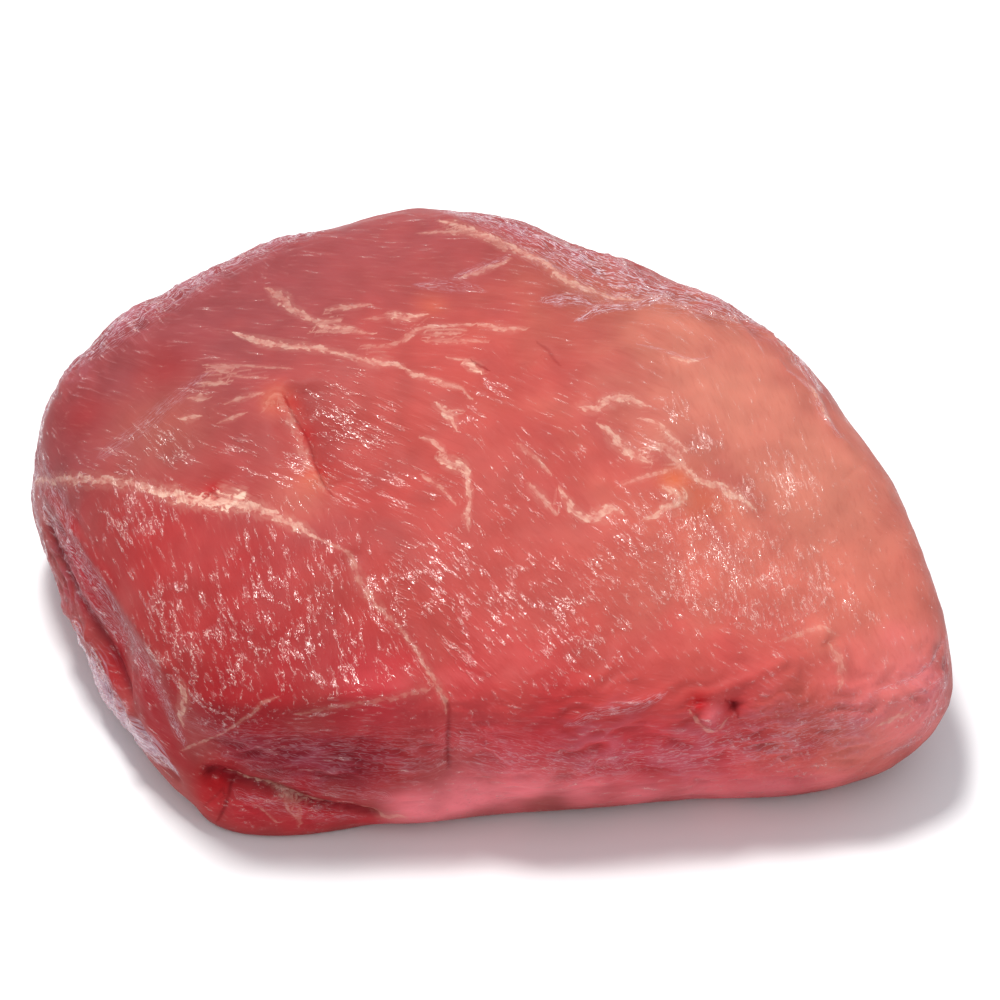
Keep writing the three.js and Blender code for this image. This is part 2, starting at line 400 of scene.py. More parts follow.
# Grooves: half width, depth and the line in photo pixels.
GROOVES = {
    "main_seam": (1.1, 1.0, [(433, 672), (440, 690), (447, 704), (450, 716), (448, 740), (449, 775)]),
    "main_seam_upper": (2.0, 0.8, [
        (344, 549), (358, 575), (373, 598), (402, 628), (422, 656), (436, 680),
    ]),
    "dark_crack": (0.7, 0.5, [(538, 343), (548, 349), (553, 357), (559, 364)]),
    "triangle_cut": (0.6, 0.8, [(473, 362), (480, 366), (487, 370)]),
    "flap_crease": (1.6, 2.6, [
        (198, 776), (212, 772), (228, 776), (250, 782), (282, 791), (306, 800), (330, 807), (354, 812),
        (382, 819),
    ]),
    "flap_fold": (0.9, 1.0, [(232, 772), (229, 790), (225, 806), (217, 822)]),
    "left_hollow": (3.2, 1.6, [(46, 520), (62, 556), (84, 596), (104, 634), (122, 668), (137, 700)]),
    "left_foot": (1.5, 1.0, [(140, 712), (150, 742), (166, 768), (184, 786)]),
    "right_fold": (1.1, 0.5, [(872, 691), (890, 686), (912, 676), (930, 664), (940, 650), (947, 636)]),
    "right_fold_low": (0.9, 0.6, [(918, 687), (932, 676), (949, 664)]),
    "furrow": (3.4, 0.5, [(752, 504), (776, 520), (800, 538), (822, 560), (842, 588)]),
    "end_crease": (1.2, 0.4, [(838, 483), (850, 474), (866, 462)]),
    "pocket_slit": (1.2, 0.9, [(688, 711), (694, 705), (702, 701), (712, 699)]),
    "pocket_hole": (1.5, 2.2, [(730, 698), (735, 706), (734, 716)]),
    "nub_edge": (0.9, 0.3, [(816, 646), (826, 650), (829, 664), (829, 680)]),
    "front_crack": (0.8, 0.7, [(362, 741), (358, 752), (350, 760)]),
    "node_pit": (1.0, 0.9, [(206, 494), (212, 489), (216, 494)]),
}

# Ridges: half width, height and the line in photo pixels.
RIDGES = {
    "seam_lip": (1.8, 0.7, [(412, 668), (428, 690), (438, 706), (441, 724)]),
    "hollow_lip": (2.4, 0.8, [
        (272, 408), (279, 392), (284, 380), (290, 398), (300, 424), (308, 450), (318, 486),
    ]),
    "left_shoulder": (2.2, 1.2, [
        (44, 492), (62, 512), (84, 540), (104, 570), (124, 604), (148, 640), (172, 676),
    ]),
    "left_lip": (2.0, 1.4, [(66, 600), (84, 622), (104, 648), (120, 676), (134, 702), (142, 724)]),
    "back_band": (2.0, 0.7, [
        (440, 214), (466, 226), (500, 243), (528, 255), (560, 275), (586, 288), (616, 296),
    ]),
    "film_triangle": (2.4, 1.1, [(533, 252), (546, 244), (558, 252)]),
    "film_ridge": (1.6, 0.8, [(584, 314), (606, 306), (640, 303), (676, 292)]),
    "torn_edge": (1.2, 0.9, [(772, 356), (790, 376), (812, 391), (822, 410), (832, 430), (852, 452)]),
    "front_edge_left": (2.6, 0.7, [(196, 698), (250, 704), (300, 703), (360, 694), (420, 690)]),
    "front_ridge": (1.4, 0.9, [(693, 697), (718, 691), (743, 681), (766, 671), (792, 660)]),
    "front_ridge_low": (1.2, 0.6, [(566, 722), (598, 712), (632, 704), (654, 696)]),
    "nub": (3.4, 2.2, [(816, 640), (824, 637), (831, 642)]),
    "nub_fold": (1.4, 0.8, [(836, 640), (843, 655), (846, 676)]),
    "pocket_tongue": (2.2, 1.3, [(700, 712), (711, 714), (722, 712)]),
    "pocket_tip": (1.2, 0.8, [(705, 722), (712, 727), (718, 722)]),
    "flap_top": (2.2, 1.0, [(238, 788), (262, 793), (288, 800), (316, 808), (346, 817)]),
    "right_end_lip": (1.6, 0.8, [(880, 700), (910, 690), (936, 680), (948, 672)]),
    "nodule": (2.8, 0.9, [(668, 482), (676, 494), (672, 506)]),
    "centre_crest": (2.0, 0.5, [(352, 556), (364, 584), (382, 606)]),
}

# Steps: the side to the left of the line's travel drops by a depth that recovers over a distance.
STEPS = {
    "hollow_edge": (1.0, 12, [
        (285, 382), (286, 402), (297, 422), (310, 442), (315, 460), (322, 480), (334, 496),
    ]),
}

# Strips of film: strength, then (photo x, photo y, width in pixels).
# Their pale strands and thick film are partly the film's own colour and partly painted light: a painted
# reflection along the rims, a painted sheen on the front's wrinkles.
FILMS = {
    "left_shoulder": (0.65, [
        (34, 446, 12), (40, 492, 24), (56, 526, 34), (80, 556, 36), (108, 596, 34), (130, 636, 32),
        (150, 674, 26), (168, 710, 22), (180, 742, 14),
    ]),
    "left_middle": (0.55, [
        (60, 548, 12), (82, 588, 26), (108, 622, 32), (134, 652, 30), (154, 684, 22), (168, 712, 12),
    ]),
    "left_outer": (1.5, [
        (66, 596, 16), (84, 634, 44), (104, 670, 62), (122, 704, 62), (142, 734, 48), (160, 756, 26),
        (174, 772, 8),
    ]),
    "left_end": (1.1, [
        (104, 338, 14), (62, 370, 24), (38, 412, 28), (31, 456, 26), (32, 500, 26), (46, 556, 22),
        (60, 600, 16),
    ]),
    "back_left": (0.9, [
        (56, 384, 20), (100, 342, 50), (140, 312, 64), (190, 282, 72), (240, 252, 68), (290, 228, 46),
        (336, 214, 16),
    ]),
    "back_right": (0.9, [
        (446, 210, 20), (484, 218, 60), (520, 230, 84), (560, 250, 96), (610, 272, 96), (660, 288, 84),
        (700, 300, 76), (744, 318, 66), (786, 348, 50), (818, 386, 20),
    ]),
    "film_bright": (1.0, [(580, 318, 8), (604, 308, 12), (642, 304, 12), (680, 292, 10)]),
    "film_grey": (0.8, [(548, 300, 16), (574, 298, 22), (598, 304, 14)]),
    "torn_edge": (0.6, [(790, 374, 6), (812, 391, 12), (823, 412, 14), (838, 436, 9)]),
    "front_left": (0.2, [
        (190, 722, 20), (232, 740, 60), (290, 750, 84), (350, 756, 84), (410, 756, 74), (449, 750, 50),
    ]),
    "front_low": (0.22, [(226, 758, 12), (280, 776, 24), (330, 790, 30), (384, 796, 24)]),
    "front_mid": (0.3, [(450, 742, 50), (500, 752, 64), (560, 764, 60), (620, 768, 44)]),
    "front_thin": (0.5, [(566, 724, 6), (600, 712, 14), (640, 704, 14), (664, 694, 6)]),
    "front_right": (0.35, [
        (600, 760, 40), (680, 752, 64), (740, 744, 70), (800, 734, 64), (862, 716, 40),
    ]),
    "right_end": (0.5, [
        (890, 754, 14), (918, 736, 26), (938, 704, 30), (948, 668, 26), (948, 636, 14),
    ]),
    "right_fold": (0.5, [(874, 692, 4), (912, 677, 6), (934, 658, 6), (946, 640, 4)]),
    "faint_fascia": (0.3, [(214, 368, 8), (178, 396, 18), (140, 428, 22), (104, 454, 14)]),
    "top_wisps": (0.4, [(455, 276, 6), (474, 270, 14), (492, 264, 12), (508, 258, 6)]),
    "wisp_crown": (0.35, [(420, 284, 10), (448, 284, 20), (480, 290, 12)]),
    "salmon_film": (0.35, [(640, 344, 4), (668, 352, 8), (694, 360, 6), (712, 356, 3)]),
    "right_fold_low": (0.4, [(880, 706, 4), (912, 694, 7), (938, 678, 7), (950, 664, 4)]),
    "flap": (0.4, [(240, 794, 16), (280, 806, 24), (330, 816, 18), (360, 820, 8)]),
}

# Streaks of fat: strength, then (photo x, photo y, width in pixels).
FATS = {
    "seam_far_left": (0.4, [
        (34, 482, 5), (56, 480, 8), (80, 480, 9), (104, 481, 9), (126, 483, 9), (146, 486, 10),
        (164, 490, 6),
    ]),
    "seam_left": (0.7, [
        (132, 485, 3), (152, 488, 8), (170, 492, 12), (186, 497, 13), (204, 500, 13), (226, 498, 14),
    ]),
    "seam_node": (0.95, [(200, 501, 8), (216, 500, 16), (232, 500, 20), (246, 506, 11)]),
    "seam_right": (0.6, [
        (238, 503, 13), (254, 508, 11), (270, 514, 9), (288, 522, 8), (304, 530, 7), (316, 537, 3),
    ]),
    "seam_down": (0.3, [
        (312, 535, 2), (330, 543, 3), (346, 551, 4), (355, 567, 6), (361, 584, 8), (372, 597, 6),
        (386, 612, 4), (402, 628, 3),
    ]),
    "seam_low": (0.35, [(402, 628, 3), (419, 652, 4), (432, 676, 5), (442, 694, 5), (446, 710, 3)]),
    "crown_long": (0.45, [
        (236, 332, 3), (250, 336, 6), (268, 342, 9), (290, 345, 8), (312, 347, 8), (334, 351, 6),
        (354, 357, 5), (368, 362, 8), (384, 362, 8), (402, 367, 4),
    ]),
    "crown_next": (0.45, [(407, 371, 3), (416, 376, 6), (432, 380, 5), (446, 386, 6), (462, 389, 3)]),
    "crown_top": (0.36, [
        (268, 288, 4), (280, 296, 12), (290, 306, 8), (306, 316, 7), (320, 320, 6), (340, 318, 3),
    ]),
    "crown_top_low": (0.42, [(316, 324, 3), (328, 326, 8), (342, 326, 6), (362, 331, 3)]),
    "crown_wisp": (0.3, [(326, 309, 3), (342, 306, 7), (356, 305, 6), (370, 303, 2)]),
    "crown_thin": (0.3, [(310, 331, 2), (340, 331, 3), (374, 333, 2)]),
    "arc_left": (0.22, [(364, 345, 3), (380, 347, 5), (398, 342, 4), (410, 332, 3)]),
    "arc_top": (0.34, [(406, 340, 4), (416, 330, 5), (434, 327, 6), (456, 326, 5), (474, 325, 3)]),
    "arc_right": (0.36, [(480, 326, 4), (494, 328, 7), (508, 329, 7), (524, 328, 3)]),
    "arc_inner": (0.28, [(424, 334, 3), (440, 335, 7), (458, 333, 5), (468, 330, 2)]),
    "arc_low": (0.28, [(426, 341, 3), (446, 343, 6), (470, 342, 5), (488, 343, 2)]),
    "crown_bright": (0.55, [(386, 313, 3), (394, 314, 9), (406, 317, 9), (424, 314, 4)]),
    "crown_faint": (0.25, [(366, 318, 2), (380, 317, 5), (392, 315, 3)]),
    "left_wisp_a": (0.28, [(206, 364, 2), (224, 364, 5), (246, 365, 4), (270, 366, 3), (290, 368, 2)]),
    "left_wisp_b": (0.25, [(208, 371, 3), (222, 370, 5), (236, 371, 2)]),
    "left_wisp_c": (0.22, [(226, 375, 2), (244, 376, 4), (266, 377, 2)]),
    "left_wisp_d": (0.32, [(200, 382, 3), (212, 382, 6), (226, 382, 3)]),
    "left_wisp_e": (0.28, [(226, 403, 2), (242, 398, 6), (260, 392, 3)]),
    "left_wisp_f": (0.3, [(220, 422, 2), (232, 418, 5), (244, 413, 2)]),
    "left_wisp_g": (0.42, [(180, 418, 2), (188, 418, 6), (197, 417, 3)]),
    "left_blot": (0.3, [(192, 398, 5), (200, 397, 7), (206, 397, 4)]),
    "triangle": (0.7, [(462, 365, 2), (470, 366, 9), (478, 370, 7)]),
    "triangle_left": (0.35, [(448, 359, 2), (460, 360, 4), (472, 362, 3)]),
    "drop_upper": (0.55, [(438, 406, 5), (448, 414, 8), (454, 424, 5), (457, 430, 2)]),
    "drop_arm": (0.35, [(448, 413, 4), (456, 410, 3), (463, 410, 2)]),
    "mid_wisp_a": (0.4, [(424, 438, 3), (434, 442, 5), (444, 451, 4), (446, 456, 2)]),
    "mid_wisp_b": (0.35, [(424, 476, 3), (438, 486, 4), (448, 496, 3), (454, 503, 2)]),
    "patch_i": (0.65, [(440, 459, 4), (450, 463, 10), (462, 468, 10), (468, 474, 5)]),
    "drop_j": (0.5, [(467, 476, 5), (469, 490, 5), (469, 504, 3), (467, 518, 6), (468, 528, 2)]),
    "mid_thin": (0.3, [(430, 382, 2), (446, 384, 3), (460, 387, 3), (470, 398, 2)]),
    "band_top": (0.45, [
        (440, 222, 3), (452, 224, 7), (466, 230, 8), (484, 239, 8), (506, 248, 9), (528, 257, 10),
        (546, 266, 9), (566, 281, 9), (590, 291, 8), (616, 297, 6), (640, 300, 3),
    ]),
    "band_second": (0.3, [(420, 232, 3), (444, 232, 7), (464, 234, 8), (484, 240, 7), (504, 252, 5)]),
    "band_third": (0.3, [(464, 276, 3), (480, 271, 6), (496, 266, 5), (510, 260, 3)]),
    "blob_f": (0.5, [
        (587, 407, 9), (596, 408, 6), (606, 401, 9), (622, 397, 9), (638, 402, 7), (646, 405, 3),
    ]),
    "streak_g": (0.5, [(600, 424, 3), (610, 432, 8), (620, 444, 10), (634, 453, 9), (648, 461, 4)]),
    "streak_h": (0.45, [(641, 418, 2), (654, 422, 4), (666, 430, 4), (678, 442, 4), (687, 450, 3)]),
    "cloud_h": (0.35, [(650, 446, 8), (664, 446, 12), (676, 456, 12), (682, 464, 8)]),
    "streak_k": (0.55, [
        (561, 489, 3), (567, 500, 6), (574, 511, 7), (588, 518, 6), (600, 514, 11), (612, 507, 6),
        (622, 512, 3),
    ]),
    "nodule_fat": (0.5, [(668, 490, 9), (676, 496, 16), (674, 504, 14), (660, 513, 6), (646, 519, 3)]),
    "streak_l": (0.52, [
        (682, 466, 6), (694, 476, 7), (708, 483, 7), (726, 491, 9), (742, 501, 7), (752, 508, 3),
    ]),
    "line_k": (0.3, [(620, 484, 3), (640, 478, 5), (660, 472, 5), (680, 466, 3)]),
    "glassy_a": (0.3, [(520, 446, 4), (534, 456, 4), (549, 472, 3)]),
    "glassy_b": (0.35, [(531, 487, 5), (544, 500, 6), (556, 513, 3)]),
    "patch_upper_right": (0.4, [(676, 358, 4), (686, 361, 7), (694, 361, 4)]),
    "corner_fat": (0.5, [(181, 684, 6), (184, 694, 9), (182, 706, 8), (180, 718, 7), (182, 726, 3)]),
    "corner_line": (0.25, [
        (180, 752, 2), (196, 746, 3), (214, 739, 2), (232, 726, 2), (248, 716, 3), (262, 703, 3),
        (276, 697, 2),
    ]),
    "flap_edge": (0.45, [
        (228, 776, 2), (250, 781, 3), (270, 786, 4), (284, 791, 4), (298, 796, 3), (324, 803, 2),
        (352, 809, 2), (372, 814, 2),
    ]),
    "flap_node": (0.4, [(278, 789, 6), (287, 795, 9), (292, 799, 5)]),
    "flap_web_a": (0.3, [(284, 798, 3), (288, 808, 3), (294, 816, 3), (302, 824, 2)]),
    "flap_web_b": (0.22, [(290, 798, 3), (299, 806, 3), (300, 816, 3), (298, 826, 2)]),
    "flap_web_c": (0.2, [(252, 800, 2), (266, 812, 2), (276, 822, 2)]),
    # A painted glow along the bottom edge beside the flap, in the fat's colours.
    "flap_painted_glow": (0.3, [(368, 812, 6), (384, 818, 10), (400, 818, 8)]),
    "nub_fat": (0.25, [(782, 640, 3), (800, 634, 5), (820, 630, 6), (834, 634, 4)]),
    "end_fat": (0.35, [(880, 722, 3), (896, 716, 5), (908, 710, 3)]),
    "hollow_lip": (0.2, [
        (264, 408, 5), (276, 396, 12), (286, 408, 9), (297, 434, 8), (306, 458, 8), (322, 486, 7),
    ]),
    "film_fat": (0.35, [(810, 388, 4), (820, 404, 6), (828, 420, 4)]),
    # A painted highlight along the front top edge, in the fat's colours.
    "front_edge_painted_highlight": (0.18, [(300, 712, 3), (340, 706, 4), (380, 700, 5), (424, 690, 6)]),
    "tongue_edge": (0.3, [(690, 712, 2), (697, 720, 3), (707, 727, 4), (716, 729, 3), (726, 720, 2)]),
    "nub_fold": (0.28, [(830, 646, 3), (838, 660, 6), (842, 676, 6), (838, 688, 3)]),
}

# The same on the sides that the photograph hides, by bearing in degrees and height.
HIDDEN_FILMS = {
    "back_high": (0.5, [(112, 66, 6), (96, 58, 9), (80, 50, 10), (64, 48, 8), (50, 42, 6)]),
    "back_low": (0.4, [(120, 34, 5), (100, 26, 9), (82, 22, 9), (66, 18, 6)]),
    "left_back": (0.5, [(200, 46, 7), (186, 50, 10), (170, 48, 11), (154, 42, 9), (138, 44, 6)]),
    "left_back_low": (0.45, [(204, 20, 6), (186, 22, 9), (166, 18, 9), (146, 14, 6)]),
    "right_back": (0.45, [(44, 30, 5), (28, 30, 8), (12, 34, 8), (-4, 36, 6)]),
    "right_low": (0.4, [(36, 14, 4), (16, 16, 7), (-2, 16, 7), (-18, 18, 5)]),
}
HIDDEN_FATS = {
    "back_seam": (0.5, [
        (136, 60, 1.2), (124, 52, 2.2), (110, 46, 1.6), (98, 36, 2.4), (84, 32, 1.6), (70, 34, 1.0),
    ]),
    "back_wisp_a": (0.45, [(88, 58, 0.8), (80, 56, 1.6), (72, 57, 0.8)]),
    "back_wisp_b": (0.45, [(62, 24, 0.6), (54, 26, 1.4), (46, 24, 0.8)]),
    "back_wisp_c": (0.4, [(128, 22, 0.8), (118, 20, 1.6), (108, 18, 0.8)]),
    "left_seam": (0.42, [
        (164, 58, 1.4), (160, 44, 1.8), (154, 34, 2.2), (149, 22, 1.4), (146, 12, 0.8),
    ]),
    "left_wisp": (0.4, [(162, 27, 0.8), (170, 30, 1.6), (176, 28, 0.8)]),
    "right_seam": (0.42, [(30, 52, 1.0), (22, 44, 1.8), (12, 40, 1.6), (4, 28, 1.8), (-6, 22, 1.0)]),
    "right_wisp": (0.4, [(40, 40, 0.8), (34, 37, 1.4), (28, 36, 0.8)]),
}
HIDDEN_GROOVES = {
    "back_seam": (1.6, 1.2, [(136, 62), (122, 53), (108, 47), (96, 37), (82, 33), (66, 36)]),
    "left_seam": (1.6, 1.2, [(166, 62), (160, 46), (154, 35), (149, 22), (146, 8)]),
    "right_seam": (1.4, 1.0, [(32, 54), (22, 45), (12, 40), (4, 28), (-6, 20)]),
    "back_foot": (1.6, 0.9, [(118, 12), (98, 14), (80, 10), (60, 12)]),
}

FILM_EDGE = (0.7, 1.3)  # shares of its half width between which film ends
FILM_WRINKLE_SIZE = (1.8, 9.0)  # across and along the strip
FILM_WRINKLE_HEIGHT = 0.4

# Places where the cut fibres are wet and glisten: photo pixel, reach and strength. There the coat
# shines and glints are also painted into the colour.
GLISTENS = [
    (92, 470, 7, 0.7),
    (140, 515, 12, 1.0),
    (160, 440, 8, 0.7),
    (178, 462, 5, 1.0),
    (120, 472, 8, 0.6),
    (239, 455, 7, 0.7),
    (168, 600, 10, 0.8),
    (180, 640, 10, 1.0),
    (200, 690, 10, 0.8),
    (206, 630, 8, 0.9),
    (262, 600, 16, 0.85),
    (300, 620, 22, 0.8),
    (262, 560, 14, 0.6),
    (330, 566, 12, 0.6),
    (380, 600, 14, 0.9),
    (412, 588, 9, 0.9),
    (357, 656, 12, 0.9),
    (230, 680, 11, 0.8),
    (330, 672, 12, 0.7),
    (398, 660, 10, 0.7),
    (345, 432, 14, 0.9),
    (380, 484, 12, 0.7),
    (300, 468, 10, 0.8),
    (240, 464, 10, 0.5),
    (443, 573, 14, 0.9),
    (500, 600, 20, 0.8),
    (480, 645, 12, 0.7),
    (550, 608, 14, 0.9),
    (570, 636, 16, 0.7),
    (600, 580, 14, 0.7),
    (640, 540, 12, 0.7),
    (712, 556, 21, 1.0),
    (745, 580, 15, 1.0),
    (762, 620, 12, 0.7),
    (660, 520, 10, 0.8),
    (790, 484, 10, 0.9),
    (738, 500, 10, 0.8),
    (702, 440, 7, 0.8),
    (675, 412, 5, 0.8),
    (640, 440, 7, 0.6),
    (812, 580, 12, 0.8),
    (742, 604, 13, 0.7),
    (860, 600, 10, 0.45),
    (493, 393, 5, 0.8),
    (476, 414, 7, 0.5),
    (622, 524, 8, 0.6),
    (540, 470, 16, 0.45),
    (430, 500, 14, 0.45),
    (712, 724, 4, 0.6),
    (560, 700, 6, 0.35),
    (795, 772, 4, 0.6),
    (820, 766, 3, 0.5),
    (508, 716, 5, 0.3),
    (118, 648, 6, 0.6),
    (270, 794, 5, 0.7),
    (320, 806, 5, 0.6),
    (238, 804, 5, 0.5),
    (911, 716, 4, 0.5),
]
GLISTEN_EVERYWHERE = 0.05
FILM_GLISTEN = 0.6
WET_CLUMP_SIZE = 5
WET_CLUMP_EDGE = (-0.35, 0.2)
WET_BETWEEN = 0.4  # how wet it stays between the clumps, as a share

# The meat's tones, as linear red, green and blue; some are painted sheen, painted shade and painted
# glow.
TONES = {
    "muted": (0.26, 0.056, 0.060),
    "rose": (0.335, 0.064, 0.060),
    "coral": (0.455, 0.072, 0.060),
    "salmon": (0.60, 0.165, 0.120),
    "pale_salmon": (0.54, 0.182, 0.130),
    "brown_pink": (0.37, 0.103, 0.072),
    "red": (0.37, 0.034, 0.034),
    "deep_red": (0.31, 0.020, 0.022),
    "cherry": (0.60, 0.046, 0.062),
    "wine_and_painted_shade": (0.38, 0.011, 0.018),
    "purple_painted_shade": (0.23, 0.010, 0.020),
    "flap_red": (0.50, 0.026, 0.036),
    "crimson_and_painted_shade": (0.42, 0.008, 0.012),
    "cut": (0.17, 0.008, 0.014),
    "blood": (0.62, 0.008, 0.012),
    "pink_and_painted_glow": (0.90, 0.215, 0.250),
    "painted_sheen_lilac": (0.50, 0.180, 0.250),
    "orange": (0.62, 0.140, 0.065),
}
TONE_EVERYWHERE = "rose"
TONE_WANDER = 0.35  # how far noise moves a patch's edge, as a share of its reach
TONE_WANDER_SIZE = 10
CLOUD_DARKENING = 0.11

# Painted light on the relief: shares of a painted lilac sheen on crests, of painted shade in troughs
# and in the cuts.
CREST_PAINTED_SHEEN = 0.26
TROUGH_PAINTED_SHADE = 0.30
CUT_PAINTED_SHADE = 0.7

# Where each tone lies: photo pixel, reach and strength. Later patches cover earlier ones.
TONE_PATCHES = [
    ("muted", 110, 400, 30, 0.9),
    ("muted", 200, 320, 34, 0.9),
    ("muted", 300, 250, 26, 0.7),
    ("muted", 430, 236, 22, 0.5),
    ("muted", 64, 450, 12, 0.6),
    ("coral", 320, 440, 20, 0.6),
    ("coral", 440, 400, 24, 0.8),
    ("coral", 540, 380, 28, 0.7),
    ("coral", 480, 500, 30, 0.95),
    ("coral", 560, 600, 30, 0.95),
    ("coral", 620, 500, 22, 0.9),
    ("coral", 480, 640, 22, 0.9),
    ("coral", 660, 670, 20, 0.9),
    ("coral", 780, 680, 18, 0.7),
    ("brown_pink", 600, 290, 20, 0.7),
    ("brown_pink", 680, 320, 16, 0.7),
    ("red", 250, 600, 34, 0.95),
    ("red", 370, 640, 14, 0.8),
    ("coral", 330, 586, 9, 0.4),
    ("red", 150, 540, 18, 0.8),
    ("deep_red", 200, 690, 16, 0.6),
    ("deep_red", 320, 668, 18, 0.4),
    ("deep_red", 84, 416, 8, 0.5),
    ("deep_red", 167, 368, 9, 0.5),
    ("deep_red", 246, 560, 6, 0.4),
    ("salmon", 300, 494, 8, 0.5),
    ("salmon", 700, 600, 26, 0.6),
    ("salmon", 850, 560, 32, 0.95),
    ("salmon", 762, 596, 16, 0.5),
    ("salmon", 880, 640, 20, 0.7),
    ("pale_salmon", 730, 390, 28, 0.95),
    ("pale_salmon", 820, 470, 24, 0.9),
    ("pale_salmon", 690, 330, 10, 0.5),
    ("cherry", 520, 730, 18, 0.95),
    ("cherry", 640, 740, 21, 0.95),
    ("cherry", 760, 740, 24, 0.95),
    ("cherry", 380, 716, 12, 0.7),
    ("cherry", 860, 730, 18, 0.45),
    ("coral", 600, 668, 13, 0.7),
    ("coral", 690, 676, 13, 0.6),
    ("coral", 515, 694, 10, 0.6),
    ("coral", 400, 592, 10, 0.6),
    ("brown_pink", 800, 700, 12, 0.5),
    ("wine_and_painted_shade", 560, 700, 9, 0.4),
    # Wine and purple under the front-left edge: painted shade in the recess there.
    ("wine_and_painted_shade", 260, 730, 14, 0.8),
    ("wine_and_painted_shade", 380, 760, 14, 0.8),
    ("purple_painted_shade", 250, 750, 11, 0.95),
    ("purple_painted_shade", 300, 760, 11, 0.95),
    ("purple_painted_shade", 350, 764, 9, 0.8),
    ("wine_and_painted_shade", 640, 775, 10, 0.5),
    # Pink along the bottom edge, and on the right end below, is a painted glow where these lie in
    # shade.
    ("pink_and_painted_glow", 470, 800, 12, 0.9),
    ("pink_and_painted_glow", 420, 812, 8, 0.9),
    ("pink_and_painted_glow", 530, 786, 8, 0.7),
    ("pink_and_painted_glow", 580, 792, 8, 0.7),
    ("pink_and_painted_glow", 640, 792, 8, 0.6),
    ("pink_and_painted_glow", 700, 790, 10, 0.6),
    ("pink_and_painted_glow", 770, 788, 9, 0.6),
    ("pink_and_painted_glow", 830, 778, 8, 0.5),
    ("salmon", 890, 735, 16, 0.6),
    ("pink_and_painted_glow", 920, 700, 12, 0.5),
    ("flap_red", 250, 812, 10, 0.95),
    ("flap_red", 310, 818, 8, 0.9),
    ("flap_red", 360, 822, 6, 0.8),
    ("crimson_and_painted_shade", 216, 780, 6, 0.95),
    ("crimson_and_painted_shade", 206, 800, 5, 0.7),
    ("wine_and_painted_shade", 80, 560, 9, 0.9),
    ("wine_and_painted_shade", 96, 590, 10, 0.95),
    ("deep_red", 120, 620, 8, 0.7),
    ("wine_and_painted_shade", 118, 650, 9, 0.95),
    ("wine_and_painted_shade", 146, 690, 9, 0.95),
    ("wine_and_painted_shade", 160, 730, 9, 0.8),
    ("brown_pink", 160, 430, 14, 0.5),
    ("orange", 433, 305, 4, 0.3),
    ("orange", 673, 480, 4, 0.9),
    ("orange", 700, 500, 7, 0.4),
    ("orange", 274, 400, 4, 0.4),
    ("orange", 312, 478, 4, 0.4),
    # Crimson along the hollow's edge, in the pit and in the hole: painted shade.
    ("crimson_and_painted_shade", 289, 402, 2.4, 0.6),
    ("crimson_and_painted_shade", 304, 434, 2.4, 0.7),
    ("crimson_and_painted_shade", 318, 468, 2.8, 0.6),
    ("crimson_and_painted_shade", 212, 490, 2.0, 0.8),
    ("blood", 699, 704, 2.4, 1.0),
    ("crimson_and_painted_shade", 733, 707, 2.4, 0.8),
    ("crimson_and_painted_shade", 806, 748, 3.0, 0.6),
    ("pink_and_painted_glow", 712, 714, 2.6, 0.5),
    ("salmon", 824, 636, 5, 0.6),
    ("pink_and_painted_glow", 900, 712, 15, 0.42),
    ("salmon", 905, 700, 11, 0.4),
    ("salmon", 845, 752, 10, 0.5),
    ("salmon", 770, 748, 9, 0.3),
]


def wrinkles(surface):
    """How wrinkled the meat is at each vertex, and how far it stands on a crest, both from 0 to 1."""
    points = surface.points
    share = np.zeros(len(points))
    for places, find in ((WRINKLES, surface.seen), (HIDDEN_WRINKLES, surface.flank)):
        for first, second, reach, strength in places:
            far = np.linalg.norm(points - find(first, second), axis=1)
            share = np.maximum(share, strength * np.exp(-((far / reach) ** 2)))
    bend = [noise(points, WRINKLE_BEND_SIZE, seed) for seed in (33, 34, 35)]
    bent = points + WRINKLE_BEND * np.stack(bend, axis=1)
    crest = 1 - np.abs(noise(bent, WRINKLE_SIZE, 36)) / CREST_WIDTH
    return share, share * np.clip(crest, 0, 1)


def lie_of_fibres(surface):
    """For each vertex, which of CROWN, HOLLOW, MIDDLE and LOBE its fibres follow."""
    points = surface.points
    wander = LIE_WANDER * noise(points, LIE_BORDER_SIZE, 31)
    lie = np.where(noise(points, LIE_PATCH_SIZE, 32) > 0, HOLLOW, MIDDLE)
    nearest = np.ones(len(points))
    for which, x, y, reach in LIE_PLACES:
        far = np.linalg.norm(points - surface.seen(x, y), axis=1) / reach + wander
        closer = far < nearest
        lie[closer] = which
        nearest[closer] = far[closer]
    return lie


def bundles(surface, lie):
    """Relief that runs along the fibres, in mm out along the normal: each lie has its own."""
    out = np.zeros(len(surface.points))
    for which in (CROWN, HOLLOW, MIDDLE, LOBE):
        turned = along_fibres(surface.points, np.full(len(lie), which))
        here = noise(turned, BUNDLE_SIZE, 21)
        out += np.where(lie == which, here, 0)
    return BUNDLE_HEIGHT * out


def uneven(surface):
    """The lumps and broad hollows, in mm out along the normal."""
    points = surface.points
    out = np.zeros(len(points))
    for size, height, seed in LUMPS:
        out += height * noise(points, size, seed)
    for x, y, across, high, depth in DENTS:
        off = points - surface.seen(x, y)
        far = (off[:, 0] / across) ** 2 + (off @ np.array(CAMERA_UP) / high) ** 2
        far += (off @ np.array(TO_CAMERA) / (2 * across)) ** 2
        out -= depth * np.exp(-far)
    return out


# How far out grooves, ridges and steps are worked in, in half widths or recoveries.
LINE_REACH = 3
STEP_REACH = 2
STEP_EDGE = (-0.6, 1.0)  # from the high side of a step's line to its low side

# Where they fade out at their start and at their end, in mm from it.
LINE_ENDS = ((-0.5, 3), (-3, 0.5))
STEP_ENDS = ((0, 3), (-5, 0))


